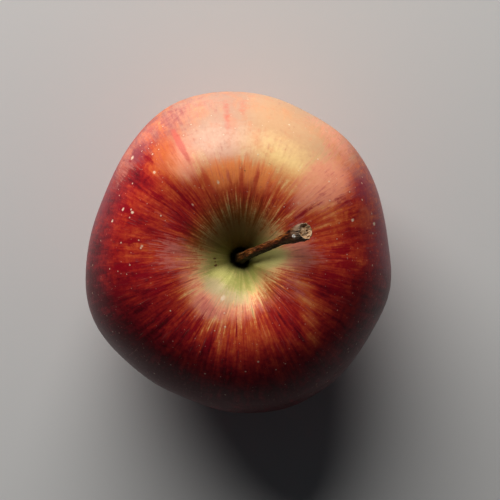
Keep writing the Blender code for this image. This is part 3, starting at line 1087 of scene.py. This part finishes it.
def streaks_group():
    """Streaks along Z, near -1 to 1: noise on a vector stretched by Around in X and Y and by Along in Z."""
    inputs = (
        ("Vector", "Vector", None),
        ("Around", "Float", 20.0),
        ("Along", "Float", 4.0),
        ("Detail", "Float", 2.0),
    )
    tree, steps, given, result = new_group("streaks", inputs, ("Streak",))
    factors = {"X": given["Around"], "Y": given["Around"], "Z": given["Along"]}
    vector = steps.stretched(given["Vector"], steps.node("CombineXYZ", factors).outputs[0])
    found = steps.noise(vector, 1.0, given["Detail"], roughness=0.55, distortion=0.25)
    steps.feed(result["Streak"], steps.plus(-1.7, found, 3.4))
    return tree


def mottle_group():
    """Cloudy speckle: coarse noise and noise three times finer, added, near -1 to 1."""
    inputs = (("Vector", "Vector", None), ("Scale", "Float", 400.0))
    tree, steps, given, result = new_group("mottle", inputs, ("Mottle",))
    coarse = steps.noise(given["Vector"], given["Scale"], detail=2.0, roughness=0.6)
    fine = steps.noise(given["Vector"], steps.times(given["Scale"], 3.0), detail=3.0, roughness=0.6)
    steps.feed(result["Mottle"], steps.total(-2.0, (coarse, 2.0), (fine, 2.0)))
    return tree


def spots_group():
    """Round spots of many sizes, and a wider halo round each.

    The distance to the nearest of scattered seeds is cut off at a radius that differs from seed to seed.
    """
    inputs = (("Vector", "Vector", None), ("Scale", "Float", 400.0), ("Radius", "Float", 0.2))
    tree, steps, given, result = new_group("spots", inputs, ("Spot", "Halo"))
    cells = steps.node("TexVoronoi", {"Vector": given["Vector"], "Scale": given["Scale"]})
    chance = steps.node("SeparateColor", {0: cells.outputs["Color"]}).outputs[0]
    radius = steps.times(given["Radius"], steps.plus(0.25, chance, 0.75))
    share = steps.math("DIVIDE", cells.outputs["Distance"], radius)
    steps.feed(result["Spot"], steps.stepped(share, 1.0, 0.45))
    steps.feed(result["Halo"], steps.stepped(share, 2.6, 0.9))
    return tree


def new_material(name):
    """A new material, the steps of its tree, and its Principled shader."""
    made = bpy.data.materials.new(name)
    made.use_nodes = True
    return made, Steps(made.node_tree), made.node_tree.nodes["Principled BSDF"]


class SkinSteps(Steps):
    """The steps of the skin's material, with the noises and the bands that its layers share."""

    def __init__(self, tree, streaks, mottle, spots):
        super().__init__(tree)
        self.streaks, self.mottle, self.spots = streaks, mottle, spots
        self.meridian, self.place = self.attribute("meridian", "Vector"), self.placed()
        self.broad = self.streak(around=7, along=2.2)
        self.middling = self.streak(around=20, along=4.5)
        self.fine = self.streak(around=46, along=7)
        self.hair = self.streak(around=110, along=12, detail=3.0)
        self.coarse_mottle, self.fine_mottle = self.speckle(scale=330), self.speckle(scale=1100)
        self.depth = self.attribute("depth")
        self.flank = self.stepped(self.depth, *FLANK)
        self.ring = self.times(self.stepped(self.depth, *RING_IN), self.stepped(self.depth, *RING_OUT))
        self.calm = self.stepped(self.attribute("ripeness"), 0.30, 0.60)

    def streak(self, around, along, detail=2.0):
        """Streaks down the meridians, the finer the greater around, the shorter the greater along."""
        inputs = {"Vector": self.meridian, "Around": around, "Along": along, "Detail": detail}
        return self.group(self.streaks, inputs)["Streak"]

    def speckle(self, scale):
        """Mottle of this scale."""
        return self.group(self.mottle, {"Vector": self.place, "Scale": scale})["Mottle"]

    def spotted(self, scale, radius):
        """Spots and their halos, of this scale, up to this radius in cells."""
        return self.group(self.spots, {"Vector": self.place, "Scale": scale, "Radius": radius})

    def broken(self, value, **shares):
        """The value with shares of the noises of these names added, which break up its edge."""
        return self.total(value, *((getattr(self, noise), share) for noise, share in shares.items()))

    def layer(self, colour, name, paint, rise, strength, **shares):
        """The colour under a paint, in the patches of this name."""
        return self.cover(colour, self.broken(self.attribute(name), **shares), rise, strength, paint)


def skin_ripeness(skin):
    """The painted ripeness, which fades into the cavity, streaked and mottled, more so on the ripe sides."""
    lively = skin.times(skin.stepped(skin.depth, *LIVELY), skin.plus(0.20, skin.calm, 0.80))
    patchy = skin.stepped(skin.plus(skin.speckle(scale=95), skin.broad, 0.25), -0.55, 0.45)
    patchy = skin.plus(0.30, patchy, 0.85)
    past = skin.attribute("reach")
    reach = skin.broken(past, middling=0.15, fine=0.10, hair=0.06, coarse_mottle=0.08, fine_mottle=0.06)
    ripe = skin.times(skin.attribute("ripeness"), skin.stepped(reach, 0.0, 1.0))
    ripe = skin.math("MAXIMUM", ripe, skin.times(skin.stepped(past, -0.10, 0.70), 0.34))
    return skin.total(
        skin.broken(ripe, coarse_mottle=0.05, broad=0.06),
        (skin.times(skin.middling, lively), 0.115),
        (skin.times(skin.fine, lively, patchy), 0.085),
        (skin.times(skin.hair, lively, patchy), 0.045),
        (skin.times(skin.plus(skin.middling, skin.fine, 0.45), skin.ring), 0.09),
        (skin.times(skin.coarse_mottle, skin.times(skin.flank, skin.calm)), 0.11),
        (skin.fine_mottle, 0.06),
    )


def haze_and_sheen_layer(skin, colour):
    """Pale haze on the far shoulder, partly a painted sheen, pink on its left and lemon on its right, and
    duller further out.
    """
    painted_haze_and_sheen = skin.attribute("haze_and_sheen")
    clouds = skin.times(skin.plus(skin.middling, skin.broad, 1.0), skin.stepped(skin.depth, *CLOUDED_HAZE_AND_SHEEN))
    haze_and_sheen = skin.broken(painted_haze_and_sheen, middling=0.12, fine=0.08, hair=0.05, coarse_mottle=0.04)
    haze_and_sheen = skin.times(skin.plus(haze_and_sheen, clouds, 0.20), skin.stepped(painted_haze_and_sheen, 0.02, 0.25))
    across = skin.node("SeparateXYZ", {0: skin.place}).outputs["X"]
    right = skin.stepped(skin.broken(across, coarse_mottle=0.001), *LEMON_SIDE)
    inner = skin.blend(right, PALE_PEACH, PALE_LEMON)
    outer = skin.blend(right, PEACH, STRAW_PEACH)
    duller = skin.stepped(skin.broken(skin.depth, coarse_mottle=2.0), *DULLER_PEACH)
    return skin.cover(colour, haze_and_sheen, (0.02, 1.0), 0.88, skin.blend(duller, inner, outer))


def amber_layer(skin, colour):
    """Clear orange in its patches, partly painted light on the far inner slope, and duller on the flank."""
    painted_amber = skin.attribute("amber")
    amber = skin.broken(painted_amber, middling=0.30, fine=0.30, coarse_mottle=0.15)
    amber = skin.times(skin.stepped(amber, 0.10, 1.00), skin.stepped(painted_amber, 0.02, 0.30))
    orange = skin.blend(skin.stepped(skin.depth, *DULLER_ORANGE), AMBER, EMBER)
    return skin.blend(skin.times(amber, 0.90), colour, orange)


def warm_layers(skin, colour):
    """Blush, coral, amber and dusty rose over the ground, then fine lines, flames, plum tint and strokes;
    amber and plum are partly painted light.
    """
    colour = skin.layer(colour, "blush", BLUSH, (0.10, 0.95), 0.85, hair=0.20, fine=0.18, coarse_mottle=0.15)
    flush = skin.broken(skin.speckle(scale=130), coarse_mottle=0.45, middling=0.20)
    pale_ground = skin.stepped(skin.attribute("ripeness"), 0.60, 0.40)
    flush = skin.times(skin.stepped(flush, -0.10, 1.00), pale_ground, skin.flank, 0.34)
    colour = skin.blend(flush, colour, CORAL)
    colour = amber_layer(skin, colour)
    colour = skin.layer(colour, "rose", ROSE, (0.35, 1.05), 0.85, fine=0.38, hair=0.48, coarse_mottle=0.38)
    lines = skin.broken(skin.streak(around=30, along=8, detail=1.0), hair=0.5)
    lines = skin.stepped(lines, 0.40, 1.10)
    colour = skin.blend(skin.times(lines, skin.ring, 0.32), colour, ROSE)
    flames = skin.stepped(skin.broken(skin.fine, middling=0.9), 0.05, 0.95)
    colour = skin.blend(skin.times(flames, skin.attribute("amber"), 0.70), colour, STROKE_PINK)
    plum_and_painted_light = {"fine": 0.24, "middling": 0.12, "coarse_mottle": 0.30}
    # Partly painted light: a bluish sheen on the rims, and shade on the far left shoulder.
    colour = skin.layer(colour, "plum_and_painted_light", PLUM, (0.10, 0.90), 0.80, **plum_and_painted_light)
    brush = skin.blend(skin.stepped(skin.depth, *RED_STROKES), STROKE_PINK, TONGUE_RED)
    return skin.layer(colour, "stroke", brush, (0.15, 0.80), 0.85, fine_mottle=0.12, coarse_mottle=0.16)


def dark_layers(skin, colour, ripe):
    """Dark streaks round the cavity, then crimson dashes, scattered on ripe flanks and at listed places."""
    dark = skin.stepped(skin.broken(skin.streak(around=26, along=5), hair=0.25), 0.15, 0.95)
    band = skin.times(skin.stepped(skin.depth, *DARK_IN), skin.stepped(skin.depth, *DARK_OUT))
    colour = skin.blend(skin.times(dark, band, 0.48), colour, DARK_RED)
    scattered = skin.plus(skin.streak(around=15, along=7), skin.streak(around=34, along=9), 0.55)
    scattered = skin.stepped(scattered, 0.55, 1.05)
    scattered = skin.times(scattered, skin.stepped(ripe, 0.42, 0.62), skin.flank, 0.65)
    colour = skin.blend(scattered, colour, CRIMSON)
    painted_dashes = skin.attribute("dashes")
    dashes = skin.broken(painted_dashes, middling=0.25, fine=0.35, coarse_mottle=0.30, fine_mottle=0.15)
    dashes = skin.times(skin.stepped(dashes, 0.25, 0.90), skin.stepped(painted_dashes, 0.05, 0.4), 0.85)
    return skin.blend(dashes, colour, CRIMSON)


def cavity_layers(skin, colour):
    """Cream where the cavity's green ends, then lime, mostly painted light, and brown olive, painted shade,
    on its wall.
    """
    colour = skin.layer(colour, "cream", CREAM, (0.30, 1.10), 0.85, hair=0.34, fine=0.30, fine_mottle=0.20)
    # Mostly painted light: a light lime where the stem and a fold shade the wall.
    colour = skin.layer(colour, "lime_and_painted_light", LIME, (0.05, 0.95), 0.85, fine=0.15, fine_mottle=0.12)
    # Painted shade: brown olive where the wall lies in shade.
    return skin.layer(colour, "olive_shade", SHADE_OLIVE, (0.05, 1.0), 0.85, middling=0.12, fine_mottle=0.12)


def pores_and_marks(skin, colour, pores):
    """Pale pores in red halos and finer specks, then pale marks with one painted highlight, cork and the
    throat's painted shade.
    """
    specks = skin.spotted(scale=800, radius=0.17)
    seen = skin.stepped(skin.depth, *PORES_IN)
    colour = skin.blend(skin.times(pores["Halo"], skin.times(seen, skin.calm), 0.22), colour, CRIMSON)
    colour = skin.blend(skin.times(specks["Spot"], seen, 0.35), colour, PORE_AND_HIGHLIGHT)
    colour = skin.blend(skin.times(pores["Spot"], seen, 0.65), colour, PORE_AND_HIGHLIGHT)
    # Pale marks, one of them a painted highlight.
    colour = skin.layer(colour, "pale", PORE_AND_HIGHLIGHT, (0.35, 0.85), 0.85, fine_mottle=0.25)
    colour = skin.layer(colour, "cork", CORK_BROWN, (0.35, 0.75), 1.0, fine_mottle=0.35)
    # Painted shade: the deep throat is dark brown.
    throat_shade = skin.broken(skin.depth, middling=0.7, coarse_mottle=0.8)
    return skin.cover(colour, throat_shade, THROAT_SHADE_BAND, 1.0, THROAT_SHADE)


def skin_material(streaks, mottle, spots):
    """The ground from yellow-green to crimson by its ripeness, then the layers and marks, in their order."""
    made, _, shader = new_material("apple_skin")
    skin = SkinSteps(made.node_tree, streaks, mottle, spots)
    pores = skin.spotted(scale=400, radius=0.145)
    ripe = skin_ripeness(skin)
    colour = haze_and_sheen_layer(skin, skin.ramp(ripe, RIPENESS_COLOURS))
    colour = dark_layers(skin, warm_layers(skin, colour), ripe)
    colour = pores_and_marks(skin, cavity_layers(skin, colour), pores)
    skin.feed(shader.inputs["Base Color"], colour)

    rough_cavity = skin.stepped(skin.depth, *ROUGH_CAVITY)
    roughness = skin.total(0.33, (skin.fine_mottle, 0.05), (pores["Spot"], 0.25), (rough_cavity, 0.18))
    skin.feed(shader.inputs["Roughness"], roughness)
    shader.inputs["Specular IOR Level"].default_value = 0.20

    ridges = skin.times(skin.fine, skin.stepped(skin.depth, *RIDGED))
    height = skin.times(skin.fine_mottle, 0.25)
    height = skin.total(height, (pores["Spot"], 0.5), (skin.coarse_mottle, 0.35), (ridges, 0.25))
    skin.bump(shader, height, strength=0.35, distance=0.00012)
    return made


def bark_material(streaks, mottle, spots):
    """Brown bark streaked along its grain, lighter on its painted lit side with painted glints, grey near the
    knob, with a pale scar on its end.
    """
    made, steps, shader = new_material("stem_bark")
    grain, place = steps.attribute("grain", "Vector"), steps.placed()
    broad = steps.group(streaks, {"Vector": grain, "Around": 2.2, "Along": 0.9})["Streak"]
    fine = steps.group(streaks, {"Vector": grain, "Around": 9, "Along": 1.6, "Detail": 4})["Streak"]
    cloud = steps.group(mottle, {"Vector": place, "Scale": 700})["Mottle"]
    dust = steps.group(mottle, {"Vector": place, "Scale": 2600})["Mottle"]
    dots = steps.group(spots, {"Vector": place, "Scale": 900, "Radius": 0.20})["Spot"]
    crack, share, painted_lit_side = steps.attribute("crack"), steps.attribute("share"), steps.attribute("painted_lit_side")

    near_foot = steps.stepped(share, 0.42, 0.20)
    # Painted light: the bark is lighter on its lit side and darker beneath.
    tone = steps.total(0.31, (broad, 0.24), (fine, 0.36), (dust, 0.10), (near_foot, 0.12), (painted_lit_side, 0.36))
    colour = steps.ramp(steps.plus(tone, crack, -0.50), BARK_COLOURS)
    # The olive foot reaches less far up the painted lit side.
    foot = steps.total(share, (fine, 0.03), (painted_lit_side, 0.04))
    colour = steps.cover(colour, foot, (0.22, 0.13), 0.85, FOOT_OLIVE)
    # Painted glints: thin pale lines where the grain is high on the lit side.
    colour = steps.cover(colour, steps.plus(fine, painted_lit_side, 1.5), (1.75, 2.25), 0.55, PAINTED_GLINT)
    grey = steps.total(steps.stepped(share, 0.80, 1.0), (cloud, 0.45), (fine, 0.30))
    grey = steps.times(steps.stepped(grey, 0.25, 0.95), steps.plus(1.0, crack, -0.8))
    colour = steps.blend(steps.times(grey, 0.85), colour, WEATHERED_GREY)
    pits = steps.stepped(steps.plus(steps.times(dust, 0.9), cloud, 0.7), 0.15, 0.75)
    colour = steps.blend(steps.times(pits, steps.stepped(share, 0.70, 0.90), 0.65), colour, PIT_BROWN)
    colour = steps.blend(steps.times(dots, 0.55), colour, WEATHERED_GREY)
    # A whitish spot on the shaft, just below the collar.
    white_spot = steps.plus(steps.attribute("white_spot"), cloud, 0.25)
    colour = steps.cover(colour, white_spot, (0.45, 0.75), 1.0, WHITE_SPOT_COLOUR)

    scar = steps.attribute("scar", "Vector")
    rings = steps.noise(scar, 3.2, detail=4.0, roughness=0.65, distortion=0.4)
    speck = steps.noise(scar, 11.0, detail=3.0, roughness=0.6)
    wood = steps.ramp(steps.total(-0.62, (rings, 2.4), (speck, 0.35), (crack, -0.60)), SCAR_COLOURS)
    scarred = steps.plus(steps.attribute("scarred"), dust, 0.15)
    colour = steps.cover(colour, scarred, (0.35, 0.75), 1.0, wood)
    steps.feed(shader.inputs["Base Color"], colour)
    steps.feed(shader.inputs["Roughness"], steps.total(0.32, (grey, 0.45), (dust, 0.10)))
    shader.inputs["Specular IOR Level"].default_value = 0.35
    height = steps.total(steps.times(fine, 0.5), (cloud, 0.25), (dust, 0.20))
    steps.bump(shader, height, strength=0.6, distance=0.00012)
    return made


def calyx_material(streaks, mottle):
    """Dry brown leaf with pale veins, darker in its creases."""
    made, steps, shader = new_material("dried_calyx")
    grain, place = steps.attribute("grain", "Vector"), steps.placed()
    veins = steps.group(streaks, {"Vector": grain, "Around": 5, "Along": 1.5, "Detail": 3})["Streak"]
    cloud = steps.group(mottle, {"Vector": place, "Scale": 900})["Mottle"]
    dust = steps.group(mottle, {"Vector": place, "Scale": 3200})["Mottle"]
    crease = steps.attribute("crease")
    tone = steps.total(0.30, (crease, 0.28), (veins, 0.16), (cloud, 0.12), (dust, 0.10))
    steps.feed(shader.inputs["Base Color"], steps.ramp(tone, CALYX_COLOURS))
    steps.feed(shader.inputs["Roughness"], steps.plus(0.85, dust, 0.08))
    height = steps.total(steps.times(veins, 0.5), (cloud, 0.3), (dust, 0.2))
    steps.bump(shader, height, strength=0.5, distance=0.00008)
    return made


def hair_material(mottle):
    """Pale hairs, some of them browner than others."""
    made, steps, shader = new_material("calyx_hairs")
    shade = steps.group(mottle, {"Vector": steps.placed(), "Scale": 1500})["Mottle"]
    colour = steps.blend(steps.stepped(shade, -0.4, 0.6), (*CALYX_COLOURS[2][1], 1), HAIR_WHITE)
    steps.feed(shader.inputs["Base Color"], colour)
    shader.inputs["Roughness"].default_value = 0.7
    return made


def build_floor():
    """A wide level sheet under the fruit."""
    half = FLOOR_HALF_WIDTH
    corners = [(-half, -half, 0), (half, -half, 0), (half, half, 0), (-half, half, 0)]
    mesh = bpy.data.meshes.new("floor")
    mesh.from_pydata(corners, [], [(0, 1, 2, 3)])
    floor = bpy.data.objects.new("floor", mesh)
    bpy.context.scene.collection.objects.link(floor)
    made, _, shader = new_material("floor")
    shader.inputs["Base Color"].default_value = FLOOR_COLOUR
    shader.inputs["Roughness"].default_value = FLOOR_ROUGHNESS
    floor.data.materials.append(made)


def build_key_light():
    """A round soft lamp, turned to the middle of the fruit."""
    light = bpy.data.lights.new("key", "AREA")
    light.shape = "DISK"
    light.size = KEY_SIZE
    light.energy = KEY_POWER
    light.color = KEY_COLOUR
    lamp = bpy.data.objects.new("key", light)
    target = Vector((0, 0, WIDEST_HEIGHT))
    lamp.location = target + KEY_DISTANCE * Vector(towards(KEY_DIRECTION, KEY_ELEVATION))
    lamp.rotation_euler = (target - lamp.location).to_track_quat("-Z", "Y").to_euler()
    bpy.context.scene.collection.objects.link(lamp)


def build_sky():
    """A sky of one even colour all round."""
    world = bpy.data.worlds.new("studio")
    world.use_nodes = True
    background = world.node_tree.nodes["Background"]
    background.inputs["Color"].default_value = (*SKY_COLOUR, 1)
    background.inputs["Strength"].default_value = SKY_STRENGTH
    bpy.context.scene.world = world


def build_camera():
    """A long lens straight above, whose frame at the fruit's widest is as wide as the picture's."""
    camera = bpy.data.cameras.new("camera")
    camera.sensor_width = SENSOR_WIDTH
    camera.lens = SENSOR_WIDTH * CAMERA_DISTANCE / FRAME_WIDTH
    camera.clip_start = 0.01
    holder = bpy.data.objects.new("camera", camera)
    holder.location = (*CAMERA_XY, WIDEST_HEIGHT + CAMERA_DISTANCE)
    bpy.context.scene.collection.objects.link(holder)
    bpy.context.scene.camera = holder


def dress(piece, material, node):
    """Gives a piece its material, lets it stand for its CAD node, and lets it ride on the body."""
    piece.data.materials.append(material)
    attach(piece, "root")
    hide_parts(node)


STREAKS, MOTTLE, SPOTS = streaks_group(), mottle_group(), spots_group()
dress(build_fruit(), skin_material(STREAKS, MOTTLE, SPOTS), "fruit")
dress(build_stem(), bark_material(STREAKS, MOTTLE, SPOTS), "stem")
DRIED = calyx_material(STREAKS, MOTTLE)
for calyx_piece in (build_button(), *(build_sepal(number) for number in range(SEPALS)), build_stamens()):
    dress(calyx_piece, DRIED, "calyx")
dress(build_hairs(), hair_material(MOTTLE), "calyx")

build_floor()
build_key_light()
build_sky()
build_camera()
bpy.context.scene.view_settings.view_transform = "Standard"
bpy.context.scene.view_settings.gamma = VIEW_GAMMA
